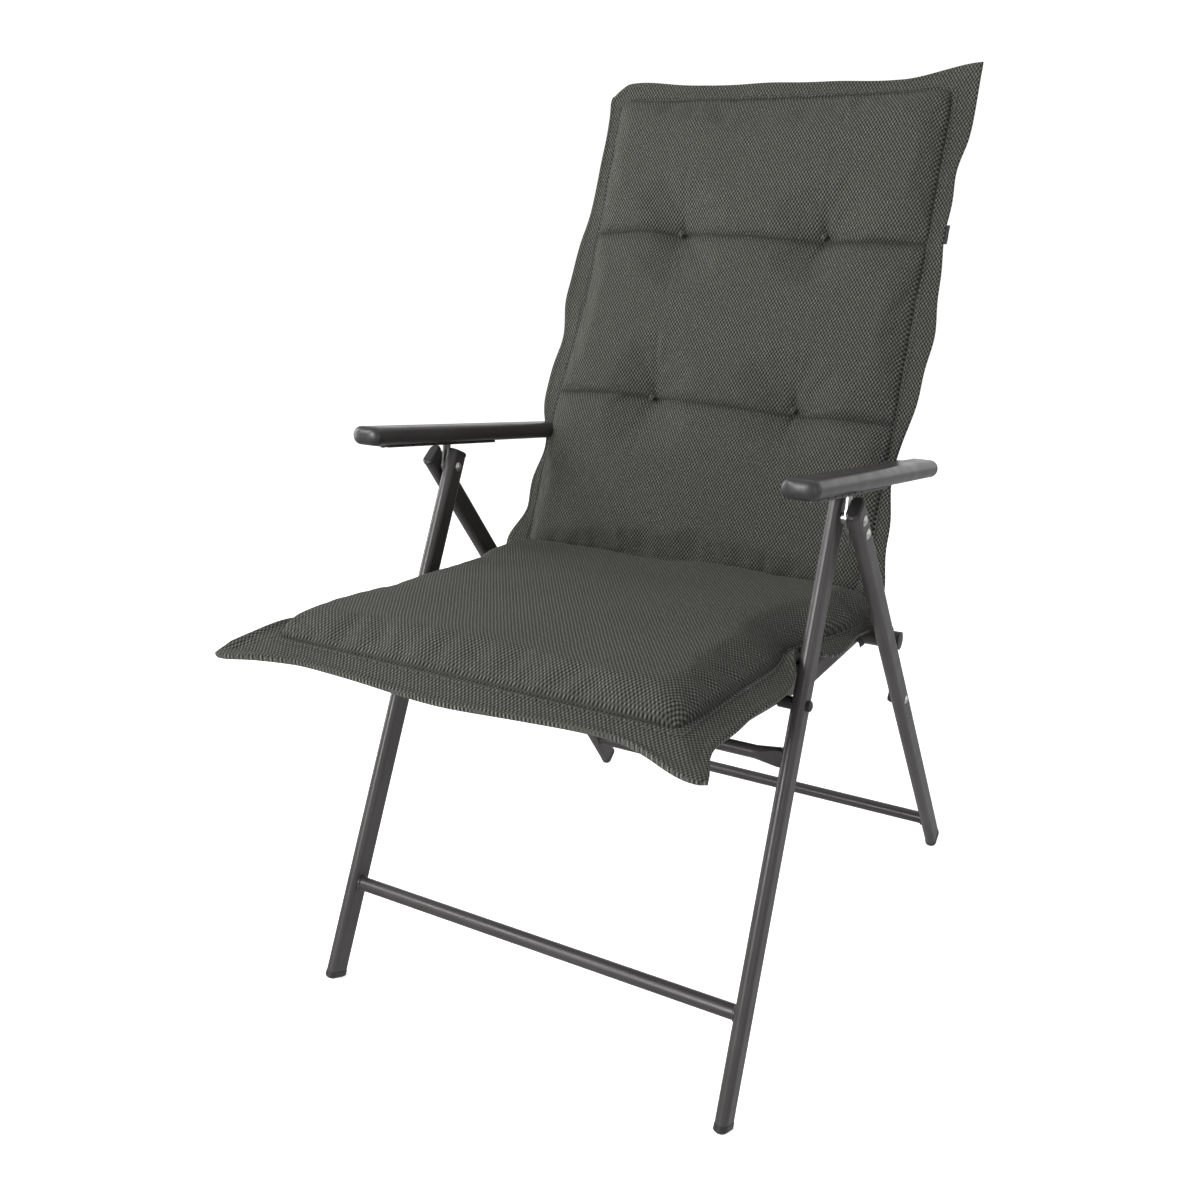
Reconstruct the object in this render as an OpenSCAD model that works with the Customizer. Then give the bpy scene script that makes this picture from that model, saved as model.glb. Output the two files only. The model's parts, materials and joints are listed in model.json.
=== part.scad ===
// Folding garden armchair with a high back and a loose padded cushion.
// Front and rear legs share a pivot under each armrest. The seat turns on the front legs,
// its rear cross tube rests behind the rear legs, and the back turns on that cross tube.
// Millimetres. X is across the chair, the chair faces -Y, Z is up.

/* [Leg frame] */
// Height of the pivot shared by the front and rear legs
pivot_height = 600; // [590:1:610]
// How far the leg pivot stands behind the front feet
front_reach = 259; // [255:1:263]
// How far the rear feet stand behind the leg pivot
rear_reach = 470; // [466:1:474]
// Half the distance between the front leg axes at the floor
front_foot_half = 262; // [260:0.5:263]
// Half the distance between the front leg axes at the pivot
front_top_half = 250.5; // [249:0.5:251]
// Half the distance between the rear leg axes at the floor
rear_foot_half = 281.5; // [281:0.5:284]
// Half the distance between the rear leg axes at the pivot
rear_top_half = 275.5; // [275:0.5:278]
// Distance from the origin forward to the front feet
front_foot_back = 311.5; // [305:0.1:318]

/* [Tubes] */
// Depth of the flat-oval frame tube, seen from the side
oval_depth = 30; // [28:0.5:30]
// Width of the flat-oval frame tube, seen from the front
oval_width = 15; // [14:0.5:15]
// Wall of every frame tube
tube_wall = 1.5; // [1:0.1:2]
// Diameter of the two floor stretchers
stretcher_d = 17; // [15:0.5:18]
// Diameter of the crossbar under the seat
crossbar_d = 15; // [13:0.5:15]
// Diameter of the rear cross tube that the seat and back hinge on
cross_tube_d = 22; // [20:0.5:22]

/* [Seat] */
// Height of the seat pivot on the front legs
seat_pivot_height = 414; // [412:1:417]
// Height at which the seat tube axis crosses the front legs
seat_cross_height = 421; // [420:1:423]
// Half the distance between the seat side tube axes
seat_half = 222; // [221:0.5:222.5]
// Distance from the front feet forward to the front edge of the seat tubes
seat_overhang = 42; // [38:1:50]
// Fall of the seat tubes towards the rear, as a slope
seat_slope = 0.12; // [0.1:0.01:0.13]

/* [Back] */
// Lean of the back from the vertical, in degrees
back_lean = 19.8; // [19:0.1:20.5]
// Length of the back from its hinge to the top bar
back_length = 672; // [640:1:690]
// Half the distance between the back side tube axes
back_half = 221.5; // [221:0.5:222]

/* [Armrest] */
// Width of the armrest profile
arm_width = 40; // [38:0.5:40]
// Height of the armrest profile
arm_height = 21; // [20:0.5:21]
// Length from the rear armrest bolt to the front tip
arm_length = 420; // [418:1:430]

/* [Cushion] */
// Half width of the cushion where it lies between the armrests
cushion_half = 242; // [238:0.5:242]
// Height of the cushion crown above its edge seam
cushion_crown = 14; // [8:1:16]
// Distance from the front feet forward to the front edge of the cushion
cushion_overhang = 111; // [105:1:115]

/* [Hidden] */
$fn = 48;

frame_color = "#45423f";
plastic_color = "#343333";
zinc_color = "#b9bab8";
fabric_color = "#55564e";
sling_color = "#2b2b2b";

foot_y = -front_foot_back;
leg_pivot = [foot_y + front_reach, pivot_height];
front_foot = [front_foot_half, foot_y, 0];
front_top = [front_top_half, leg_pivot[0], leg_pivot[1]];
rear_foot = [rear_foot_half, leg_pivot[0] + rear_reach, 0];
rear_top = [rear_top_half, leg_pivot[0], leg_pivot[1]];
leg_end_beyond_pivot = 15.8;
front_plug = 12;
rear_plug = 17;
foot_flat = 3;
foot_bevel = 3;
cap_height = 5;
cap_rim = 1;
front_stretcher_z = 113;
rear_stretcher_z = 54.5;
crossbar_z = 360;

running_gap = 0.05;
side_gap = 0.3;
weld_gap = 0.25;
rivet_r = 3;
rivet_head_r = 6;
rivet_head_h = 2.5;
bolt_r = 4;

bracket_x = 262;
bracket_thick = 2.5;
bracket_width = 13;
bracket_pin_offset = [7, 40];
bracket_rivet_along = 22;
bracket_tail_along = 33;
pin_r = 3;
pin_half = 6;

seat_pivot = [foot_y + front_reach * seat_pivot_height / pivot_height, seat_pivot_height];
hinge = [foot_y + 443, 409.5];
seat_cross = [foot_y + front_reach * seat_cross_height / pivot_height, seat_cross_height];
seat_bend = [foot_y + 290, seat_line(foot_y + 290)];
seat_front = [foot_y - seat_overhang, seat_line(foot_y - seat_overhang)];
link_foot_along = 355;
link_x = 266.5;
link_thick = 2.5;
cross_tube_half = 280;

back_up = [sin(back_lean), cos(back_lean)];
back_behind = [cos(back_lean), -sin(back_lean)];
back_tube_behind = 8;
back_tube_start = 68;
hinge_plate_x = 211;
hinge_plate_thick = 3;
bush_r = 12.5;
arm_bolt_up = 213.5;
arm_bolt = hinge + arm_bolt_up * back_up + back_tube_behind * back_behind;
arm_x = bracket_x + bracket_thick / 2;
arm_pin = leg_pivot + bracket_pin_offset;
arm_tilt = atan2(arm_pin[1] - arm_bolt[1], arm_bolt[0] - arm_pin[0]);
arm_wall = 1.8;
arm_cap_length = 12;
arm_cap_skirt = 3;
arm_rear = 14;
rail_from = 170;
rail_to = 388;
rail_thick = 2.6;
slot_width = 15;
notch_step = 21;
notch_count = 6;
sling_thick = 2;

cushion_rear_gap = 84;
cushion_clear_front = 11.7;
cushion_clear_rear = 15;
slab_r = 11;
core_r = 9;
core_behind_bar = 38;
core_rear_inset = 12;
core_side_gap = 2;
back_flange = -19;

function seat_line(y) = seat_cross[1] + seat_slope * (seat_cross[0] - y);
function on_front_leg(z) = front_foot + (front_top - front_foot) * z / pivot_height;
function on_rear_leg(z) = rear_foot + (rear_top - rear_foot) * z / pivot_height;
function rear_leg_dir() = (rear_foot - rear_top) / norm(rear_foot - rear_top);
function down_rear_leg(s) = rear_top + rear_leg_dir() * s;
function in_back(up, behind) = hinge + up * back_up + behind * back_behind;
function side(p) = [p[1], p[2]];

// Placing helpers
module mirrored(left) {
  if (left) children();
  else mirror([1, 0, 0]) children();
}
module both() {
  children();
  mirror([1, 0, 0]) children();
}
// Runs local +Z from a to b, with local Y in the chair's side plane
module between(a, b) {
  d = b - a;
  translate(a) rotate([-atan2(d[1], d[2]), 0, 0]) rotate([0, asin(d[0] / norm(d)), 0]) children();
}
// Runs local +Z across the chair from x0
module across(p, x0) {
  translate([x0, p[0], p[1]]) rotate([0, 90, 0]) children();
}
module pin_hole(p, x0, x1, r) {
  across(p, x0) cylinder(h = x1 - x0, r = r);
}

// Flat oval with its long side along local Y
module oval(width, depth) {
  straight = depth - width;
  square([width, straight], center = true);
  for (s = [-1, 1]) translate([0, s * straight / 2]) circle(d = width);
}
module oval_ring(width, depth, wall) {
  difference() {
    oval(width, depth);
    oval(width - 2 * wall, depth - 2 * wall);
  }
}
module oval_tube(a, b) {
  between(a, b) linear_extrude(norm(b - a)) oval_ring(oval_width, oval_depth, tube_wall);
}
module round_tube(a, b, d) {
  between(a, b) difference() {
    cylinder(h = norm(b - a), d = d);
    translate([0, 0, -1]) cylinder(h = norm(b - a) + 2, d = d - 2 * tube_wall);
  }
}
// A flat strip across the side plane, from p to q with round ends
module strip(p, q, width) {
  d = q - p;
  translate(p) circle(d = width);
  translate(q) circle(d = width);
  translate(p) rotate(atan2(d[1], d[0])) translate([0, -width / 2]) square([norm(d), width]);
}
// Stands a side-plane drawing up as a plate that starts at x0
module side_plate(x0, thick) {
  translate([x0, 0, 0]) rotate([90, 0, 90]) linear_extrude(thick) children();
}
module dome(r, h) {
  big = (r * r + h * h) / (2 * h);
  rotate_extrude() intersection() {
    translate([0, h - big]) circle(r = big);
    square([r, h]);
  }
}
module rivet(p, x0, x1, r, head) {
  across(p, x0) cylinder(h = x1 - x0, r = r);
  across(p, x1) dome(head, rivet_head_h);
  translate([x0, p[0], p[1]]) rotate([0, -90, 0]) dome(head, rivet_head_h);
}

// Legs
module front_leg(left) {
  color(frame_color) mirrored(left) difference() {
    start = front_foot + (front_top - front_foot) * front_plug / norm(front_top - front_foot);
    end = front_top + (front_top - front_foot) * leg_end_beyond_pivot / norm(front_top - front_foot);
    oval_tube(start, end);
    pin_hole(leg_pivot, front_top_half - oval_width, front_top_half + oval_width, rivet_r + running_gap);
    pin_hole(seat_pivot, front_top_half - oval_width, front_top_half + 2 * oval_width, bolt_r + running_gap);
  }
}
module rear_leg(left) {
  color(frame_color) mirrored(left) difference() {
    oval_tube(down_rear_leg(norm(rear_foot - rear_top) - rear_plug), down_rear_leg(-leg_end_beyond_pivot));
    x0 = rear_top_half - oval_width;
    x1 = rear_foot_half + oval_width;
    for (s = [0, bracket_rivet_along, link_foot_along])
      pin_hole(side(down_rear_leg(s)), x0, x1, rivet_r + running_gap);
  }
}
module stretcher(z, point, d) {
  x = point[0] - oval_width / 2 - weld_gap;
  color(frame_color) round_tube([-x, point[1], z], [x, point[1], z], d);
}
// Round tube whose ends are pressed tall and thin where they are welded to the legs
module front_crossbar() {
  p = on_front_leg(crossbar_z);
  end = p[0] - oval_width / 2 - weld_gap;
  flat = end - 6;
  from = end - 32;
  r = crossbar_d / 2;
  tall = 0.72 * crossbar_d;
  thin = 0.37 * crossbar_d;
  bore = r - tube_wall;
  end_bore = thin - tube_wall;
  color(frame_color) intersection() {
    translate([0, p[1], crossbar_z]) rotate([0, 90, 0]) rotate_extrude() polygon([
      [end_bore, -end], [tall, -end], [tall, -flat], [r, -from], [r, from], [tall, flat], [tall, end],
      [end_bore, end], [end_bore, flat], [bore, from], [bore, -from], [end_bore, -flat]]);
    translate([0, p[1], crossbar_z - crossbar_d]) linear_extrude(2 * crossbar_d) polygon([
      [-end, -thin], [-flat, -thin], [-from, -r - 0.5], [from, -r - 0.5], [flat, -thin], [end, -thin],
      [end, thin], [flat, thin], [from, r + 0.5], [-from, r + 0.5], [-flat, thin], [-end, thin]]);
  }
}
// Plug in the tube end, cut square to the leg with a bevelled rim, its low edge level with the floor
module foot(bottom, top, length) {
  slope = norm([top[1] - bottom[1], top[0] - bottom[0]]) / norm(top - bottom);
  low = (oval_depth / 2 * slope - foot_flat) / sqrt(1 - slope * slope);
  slice = 0.1;
  flare = 1;
  core_reach = 15;
  core_play = 2 * tube_wall + 0.1;
  above_floor = [100, 200, 200];
  intersection() {
    between(bottom, top) {
      hull() {
        translate([0, 0, low]) linear_extrude(slice)
          oval(oval_width - 2 * foot_bevel, oval_depth - 2 * foot_bevel);
        translate([0, 0, low + foot_bevel / 2]) linear_extrude(slice)
          oval(oval_width - foot_bevel / 2, oval_depth - foot_bevel / 2);
        translate([0, 0, low + foot_bevel]) linear_extrude(length - low - foot_bevel)
          oval(oval_width + flare, oval_depth + flare);
      }
      translate([0, 0, length - 1]) linear_extrude(core_reach)
        oval(oval_width - core_play, oval_depth - core_play);
    }
    translate(bottom + [0, 0, above_floor[2] / 2]) cube(above_floor, center = true);
  }
}
module front_foot_plug(left) {
  color(plastic_color) mirrored(left) foot(front_foot, front_top, front_plug);
}
module rear_foot_plug(left) {
  color(plastic_color) mirrored(left) foot(rear_foot, rear_top, rear_plug);
}
module leg_cap(bottom, top) {
  between(top, top + (top - bottom)) translate([0, 0, leg_end_beyond_pivot]) {
    linear_extrude(cap_height - 2) oval(oval_width + cap_rim, oval_depth + cap_rim);
    hull() {
      translate([0, 0, cap_height - 2]) linear_extrude(0.1) oval(oval_width + cap_rim, oval_depth + cap_rim);
      translate([0, 0, cap_height - 0.1]) linear_extrude(0.1) oval(oval_width - 3, oval_depth - 3);
    }
    translate([0, 0, -8]) linear_extrude(8.1)
      oval(oval_width - 2 * tube_wall - 0.1, oval_depth - 2 * tube_wall - 0.1);
  }
}
module front_leg_cap(left) {
  color(plastic_color) mirrored(left) leg_cap(front_foot, front_top);
}
module rear_leg_cap(left) {
  color(plastic_color) mirrored(left) leg_cap(rear_foot, rear_top);
}

// Pivot hardware
module leg_pivot_rivets() {
  color(zinc_color) both()
    rivet(leg_pivot, front_top_half - oval_width / 2 - side_gap, rear_top_half + oval_width / 2 + side_gap,
          rivet_r, rivet_head_r);
}
module leg_spacers() {
  x0 = front_top_half + oval_width / 2 + side_gap;
  color(zinc_color) both() difference() {
    across(leg_pivot, x0) cylinder(h = bracket_x - side_gap - x0, d = 12);
    pin_hole(leg_pivot, x0 - 1, bracket_x + 1, rivet_r + running_gap);
  }
}
module seat_pivot_bolts() {
  leg = on_front_leg(seat_pivot_height);
  x0 = seat_half - oval_width / 2 + tube_wall + 1;
  x1 = leg[0] + oval_width / 2 + 0.4;
  color(plastic_color) both() {
    across(seat_pivot, x0) cylinder(h = x1 - x0, r = bolt_r);
    across(seat_pivot, x1) cylinder(h = 3, r = 6);
    across(seat_pivot, x1 + 3) dome(6, 2.2);
  }
}
module seat_bushes() {
  x0 = seat_half + oval_width / 2 + side_gap;
  x1 = on_front_leg(seat_pivot_height)[0] - oval_width / 2 - side_gap;
  color(plastic_color) both() difference() {
    across(seat_pivot, x0) cylinder(h = x1 - x0, d = 14);
    pin_hole(seat_pivot, x0 - 1, x1 + 1, bolt_r + running_gap);
  }
}
// Knee-shaped zinc strip: fixed to the rear leg by two rivets, rising into the armrest
module armrest_bracket(left) {
  color(zinc_color) mirrored(left) difference() {
    side_plate(bracket_x, bracket_thick) {
      strip(arm_pin, leg_pivot, bracket_width);
      strip(leg_pivot, side(down_rear_leg(bracket_tail_along)), bracket_width);
    }
    for (s = [0, bracket_rivet_along])
      pin_hole(side(down_rear_leg(s)), bracket_x - 1, bracket_x + bracket_thick + 1, rivet_r + running_gap);
    pin_hole(arm_pin, bracket_x - 1, bracket_x + bracket_thick + 1, pin_r + running_gap);
  }
}
module bracket_rivets() {
  p = side(down_rear_leg(bracket_rivet_along));
  x0 = bracket_x - side_gap;
  x1 = down_rear_leg(bracket_rivet_along)[0] + oval_width / 2 + side_gap;
  color(zinc_color) both() {
    across(p, x0) cylinder(h = x1 - x0, r = rivet_r);
    across(p, x1) dome(rivet_head_r, rivet_head_h);
    translate([x0, p[0], p[1]]) rotate([0, -90, 0]) dome(rivet_head_r, 1.2);
  }
}
module link_rivets() {
  p = side(down_rear_leg(link_foot_along));
  leg_x = down_rear_leg(link_foot_along)[0];
  x0 = leg_x - oval_width / 2 + 1;
  x1 = leg_x + oval_width / 2 + side_gap;
  color(zinc_color) both() {
    across(p, x0) cylinder(h = x1 - x0, r = rivet_r);
    across(p, x1) dome(rivet_head_r - 0.5, rivet_head_h);
  }
}
module armrest_pins() {
  color(zinc_color) both() across(arm_pin, arm_x - pin_half) cylinder(h = 2 * pin_half, r = pin_r);
}

// Seat
// A block on one side of the seat tube's bend, to cut the two straight lengths to a mitre
module bend_cut(offset) {
  translate([seat_half, seat_bend[0], seat_bend[1]]) rotate([-atan(seat_slope) / 2, 0, 0])
    translate([0, offset, 0]) cube([40, 100, 80], center = true);
}
module seat_side(left) {
  rear = hinge + [8, 0];
  color(frame_color) mirrored(left) difference() {
    union() {
      difference() {
        oval_tube([seat_half, seat_front[0], seat_front[1]],
                  [seat_half, seat_bend[0] + 4, seat_bend[1] - 4 * seat_slope]);
        bend_cut(50.2);
      }
      difference() {
        oval_tube([seat_half, seat_bend[0] - 4, seat_bend[1]], [seat_half, rear[0], rear[1]]);
        bend_cut(-50.2);
      }
    }
    pin_hole(seat_pivot, seat_half - oval_width, seat_half + oval_width, bolt_r + running_gap);
    pin_hole(hinge, seat_half - oval_width, seat_half + oval_width, cross_tube_d / 2);
  }
}
module seat_front_bar() {
  x = seat_half - oval_width / 2;
  p = seat_front + [14, -1.5];
  color(frame_color) round_tube([-x, p[0], p[1]], [x, p[0], p[1]], 20);
}
module rear_cross_tube() {
  color(frame_color) round_tube([-cross_tube_half, hinge[0], hinge[1]], [cross_tube_half, hinge[0], hinge[1]],
                                cross_tube_d);
}
module cross_tube_caps() {
  color(plastic_color) both() {
    across(hinge, cross_tube_half) cylinder(h = 2, d = cross_tube_d + 0.5);
    across(hinge, cross_tube_half + 2) dome(cross_tube_d / 2, 1.5);
    across(hinge, cross_tube_half - 10) cylinder(h = 10, d = cross_tube_d - 2 * tube_wall - 0.1);
  }
}
module seat_sling() {
  x = seat_half - oval_width / 2;
  rear_gap = 44;
  front = seat_front + [26, -26 * seat_slope];
  rear = hinge - [rear_gap, 0];
  color(sling_color) translate([-x, 0, 0]) rotate([90, 0, 90]) linear_extrude(2 * x) {
    polygon([front, seat_bend, rear, rear + [0, sling_thick], seat_bend + [0, sling_thick],
             front + [0, sling_thick]]);
  }
}
module link(left) {
  foot = side(down_rear_leg(link_foot_along));
  color(frame_color) mirrored(left) {
    difference() {
      side_plate(link_x, link_thick) {
        strip(foot, hinge, 14);
        translate(hinge) circle(r = 16);
      }
      pin_hole(hinge, link_x - 1, link_x + link_thick + 1, cross_tube_d / 2 + running_gap);
    }
    across(foot, link_x - 2.5) cylinder(h = 2.5, r = rivet_head_r);
  }
}

// Back
module back_bushes() {
  color(plastic_color) both() difference() {
    across(hinge, hinge_plate_x - 3) cylinder(h = hinge_plate_thick + 3.2, r = bush_r);
    pin_hole(hinge, hinge_plate_x - 4, hinge_plate_x + hinge_plate_thick + 1, cross_tube_d / 2 + running_gap);
  }
}
module back_side(left) {
  a = in_back(back_tube_start, back_tube_behind);
  b = in_back(back_length, back_tube_behind);
  color(frame_color) mirrored(left) difference() {
    oval_tube([back_half, a[0], a[1]], [back_half, b[0], b[1]]);
    pin_hole(arm_bolt, back_half - oval_width, back_half + oval_width, bolt_r + running_gap);
  }
}
module back_top_bar() {
  x = back_half - oval_width / 2;
  p = in_back(back_length - 14, back_tube_behind);
  color(frame_color) round_tube([-x, p[0], p[1]], [x, p[0], p[1]], 20);
}
module back_hinge(left) {
  color(frame_color) mirrored(left) difference() {
    side_plate(hinge_plate_x, hinge_plate_thick) {
      translate(hinge) circle(r = 18);
      strip(in_back(6, 3), in_back(back_tube_start + 30, back_tube_behind), 24);
    }
    pin_hole(hinge, hinge_plate_x - 1, hinge_plate_x + hinge_plate_thick + 1, bush_r + running_gap);
  }
}
module back_sling() {
  x = back_half - oval_width / 2;
  low = back_tube_start + 46;
  high = back_length - 26;
  color(sling_color) translate([-x, 0, 0]) rotate([90, 0, 90]) linear_extrude(2 * x)
    polygon([in_back(low, back_tube_behind), in_back(high, back_tube_behind),
             in_back(high, back_tube_behind + sling_thick), in_back(low, back_tube_behind + sling_thick)]);
}

// Cushion: a slab above the tubes and a core that sinks between them
module pad(corners, half, r) {
  hull() for (c = corners, x = [-half + r, half - r]) translate([x, c[0], c[1]]) sphere(r = r, $fn = 20);
}
module seat_cushion() {
  front = foot_y - cushion_overhang;
  rear = hinge[0] - cushion_rear_gap;
  front_z = seat_line(front) + oval_depth / 2 + cushion_clear_front;
  rear_z = hinge[1] + oval_depth / 2 + cushion_clear_rear;
  top = cushion_crown - 3;
  front_lip = 2;
  top_front_inset = 30;
  top_rear_inset = 20;
  core_front = seat_front[0] + core_behind_bar;
  core_front_z = seat_line(core_front) + sling_thick + core_r + 1;
  core_rear = rear - core_rear_inset;
  color(fabric_color) {
    pad([[front + slab_r - 1, front_z - front_lip], [rear, rear_z],
         [front + top_front_inset, front_z + top], [rear - top_rear_inset, rear_z + top]],
        cushion_half, slab_r);
    pad([[core_front, core_front_z], [core_rear, rear_z - core_r],
         [core_front, front_z], [core_rear, rear_z]],
        seat_half - oval_width / 2 - core_side_gap, core_r);
  }
}
module back_cushion() {
  slab = [100, 693];
  slab_front = [116, 675];
  core = [124, 630];
  rear_face = back_flange + 1;
  front_face = back_flange - cushion_crown + core_r;
  core_rear = back_flange + 12;
  color(fabric_color) {
    pad([in_back(slab[0], rear_face), in_back(slab[1], rear_face),
         in_back(slab_front[0], front_face), in_back(slab_front[1], front_face)], cushion_half, core_r);
    pad([in_back(core[0], core_rear), in_back(core[1], core_rear),
         in_back(core[0], back_flange), in_back(core[1], back_flange)],
        back_half - oval_width / 2 - core_side_gap, core_r);
  }
}
// The crease between the two, which turns with the back when the chair folds
module cushion_fold() {
  seat_end = [[-61, 30], [-61, 41]];
  back_end = [[4, 80], [13, 76]];
  under = [8, 24];
  color(fabric_color)
    pad([for (c = concat(seat_end, back_end, [under])) hinge + c], hinge_plate_x - core_side_gap, core_r);
}

// Armrests, drawn along local -Y from the rear bolt, then tilted about it
module on_armrest(left) {
  mirrored(left) translate([arm_x, arm_bolt[0], arm_bolt[1]]) rotate([-arm_tilt, 0, 0]) children();
}
module arm_section(width, height) {
  rotate(90) oval(height, width);
}
module armrest_slot(from, to, width) {
  translate([-width / 2, -to, -arm_height]) cube([width, to - from, arm_height]);
}
module armrest(left) {
  color(frame_color) on_armrest(left) difference() {
    front = arm_length - arm_cap_length;
    translate([0, arm_rear, 0]) rotate([90, 0, 0]) linear_extrude(front + arm_rear) difference() {
      arm_section(arm_width, arm_height);
      arm_section(arm_width - 2 * arm_wall, arm_height - 2 * arm_wall);
    }
    armrest_slot(rail_from + 30, rail_to + 4, slot_width);
    translate([-arm_width, 0, 0]) rotate([0, 90, 0]) cylinder(h = arm_width, r = bolt_r + running_gap);
  }
}
module armrest_front_cap(left) {
  dome_h = arm_cap_length - arm_cap_skirt;
  color(plastic_color) on_armrest(left) translate([0, -arm_length + arm_cap_length, 0]) rotate([90, 0, 0])
    hull() {
      linear_extrude(arm_cap_skirt) arm_section(arm_width, arm_height);
      for (k = [1:3]) translate([0, 0, arm_cap_skirt + dome_h * sin(30 * k) - 0.5]) linear_extrude(0.5)
        arm_section(arm_width - dome_h * (1 - cos(30 * k)), arm_height - dome_h * (1 - cos(30 * k)));
    }
}
module armrest_rear_cap(left) {
  color(plastic_color) on_armrest(left) translate([0, arm_rear, 0]) rotate([-90, 0, 0]) hull() {
    linear_extrude(2) arm_section(arm_width, arm_height);
    translate([0, 0, 4]) linear_extrude(0.5) arm_section(arm_width - 6, arm_height - 6);
  }
}
// Toothed rail under the armrest that the bracket pin drops into
module ratchet_rail(left) {
  color(plastic_color) on_armrest(left) difference() {
    translate([-12, -rail_to, -arm_height / 2 - rail_thick]) cube([24, rail_to - rail_from, rail_thick]);
    armrest_slot(rail_from + 30, rail_to - 7, 7);
    for (k = [0:notch_count - 1]) translate([-20, -(258 + k * notch_step), -arm_height / 2 + 0.5])
      rotate([0, 90, 0]) cylinder(h = 40, r = 2);
  }
}
module rail_screws(left) {
  color(zinc_color) on_armrest(left) for (along = [rail_from + 10, rail_to - 4])
    translate([0, -along, -arm_height / 2 - rail_thick]) rotate([180, 0, 0]) dome(3.5, 1.8);
}
module armrest_bolts() {
  inner = back_half - oval_width / 2 + 0.2;
  face = arm_x - arm_width / 2;
  nut = face + arm_wall + 3;
  spacer = back_half + oval_width / 2 + side_gap;
  color(zinc_color) both() {
    across(arm_bolt, inner) cylinder(h = nut - inner, r = bolt_r);
    across(arm_bolt, spacer) cylinder(h = face - side_gap - spacer, r = 8);
    across(arm_bolt, nut) cylinder(h = 4, r = 6);
  }
}

front_leg(true);  // front_leg_left
front_leg(false);  // front_leg_right
stretcher(front_stretcher_z, on_front_leg(front_stretcher_z), stretcher_d);  // front_stretcher
front_crossbar();
front_foot_plug(true);  // front_foot_left
front_foot_plug(false);  // front_foot_right
front_leg_cap(true);  // front_leg_cap_left
front_leg_cap(false);  // front_leg_cap_right
leg_pivot_rivets();
leg_spacers();
seat_pivot_bolts();
seat_bushes();
rear_leg(true);  // rear_leg_left
rear_leg(false);  // rear_leg_right
stretcher(rear_stretcher_z, on_rear_leg(rear_stretcher_z), stretcher_d);  // rear_stretcher
rear_foot_plug(true);  // rear_foot_left
rear_foot_plug(false);  // rear_foot_right
rear_leg_cap(true);  // rear_leg_cap_left
rear_leg_cap(false);  // rear_leg_cap_right
armrest_bracket(true);  // armrest_bracket_left
armrest_bracket(false);  // armrest_bracket_right
bracket_rivets();
link_rivets();
armrest_pins();
seat_side(true);  // seat_side_left
seat_side(false);  // seat_side_right
seat_front_bar();
rear_cross_tube();
cross_tube_caps();
seat_sling();
seat_cushion();
link(true);  // link_left
link(false);  // link_right
back_bushes();
back_side(true);  // back_side_left
back_side(false);  // back_side_right
back_top_bar();
back_hinge(true);  // back_hinge_left
back_hinge(false);  // back_hinge_right
back_sling();
back_cushion();
cushion_fold();
armrest_bolts();
armrest(true);  // armrest_left
armrest(false);  // armrest_right
armrest_front_cap(true);  // armrest_front_cap_left
armrest_front_cap(false);  // armrest_front_cap_right
armrest_rear_cap(true);  // armrest_rear_cap_left
armrest_rear_cap(false);  // armrest_rear_cap_right
ratchet_rail(true);  // ratchet_rail_left
ratchet_rail(false);  // ratchet_rail_right
rail_screws(true);  // rail_screws_left
rail_screws(false);  // rail_screws_right
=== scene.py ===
import json
import math

import bpy
import numpy as np
from mathutils import Matrix, Vector


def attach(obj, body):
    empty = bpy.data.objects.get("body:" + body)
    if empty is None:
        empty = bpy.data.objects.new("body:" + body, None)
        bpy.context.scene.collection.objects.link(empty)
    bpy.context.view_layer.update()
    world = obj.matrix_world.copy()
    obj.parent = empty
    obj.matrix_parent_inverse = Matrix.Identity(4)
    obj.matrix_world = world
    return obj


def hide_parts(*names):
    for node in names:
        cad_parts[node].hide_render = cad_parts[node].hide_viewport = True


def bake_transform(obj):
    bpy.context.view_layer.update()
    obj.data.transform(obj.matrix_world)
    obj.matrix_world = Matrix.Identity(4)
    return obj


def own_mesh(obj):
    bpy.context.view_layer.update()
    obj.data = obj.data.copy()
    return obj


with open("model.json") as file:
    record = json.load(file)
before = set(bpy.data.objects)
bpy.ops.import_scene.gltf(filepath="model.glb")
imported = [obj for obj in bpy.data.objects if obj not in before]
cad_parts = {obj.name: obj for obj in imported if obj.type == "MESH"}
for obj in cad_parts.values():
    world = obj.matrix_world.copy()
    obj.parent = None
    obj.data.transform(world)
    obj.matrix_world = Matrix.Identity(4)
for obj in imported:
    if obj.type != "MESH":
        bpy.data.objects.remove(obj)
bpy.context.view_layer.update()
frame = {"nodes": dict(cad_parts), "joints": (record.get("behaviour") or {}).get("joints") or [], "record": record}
scene = bpy.context.scene

# ---------------------------------------------------------------- the chair's own planes
JOINTS = {j["name"]: j for j in frame["joints"]}
HINGE_Y, HINGE_Z = JOINTS["recline"]["pos_m"][1:]
DRAWN_HINGE_Y = 0.1247        # the seat's outline is drawn for a hinge at this place
SHIFT_Y = HINGE_Y - DRAWN_HINGE_Y
LEAN = math.radians(19.8)
BACK_FLANGE = -0.019          # the back border lies this far in front of the hinge line
SEAT_FRONT_Y, SEAT_FRONT_Z, SEAT_FALL = -0.3983, 0.478, 0.0575
SEAT_NORMAL = Vector((0, SEAT_FALL, 1)).normalized()
BACK_NORMAL = Vector((0, -math.cos(LEAN), math.sin(LEAN)))


def back_point(x, s, out):
    """A point s up the back from its hinge, and out in front of the border's plane."""
    b = BACK_FLANGE - out
    return (x, HINGE_Y + s * math.sin(LEAN) + b * math.cos(LEAN),
            HINGE_Z + s * math.cos(LEAN) - b * math.sin(LEAN))


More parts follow.
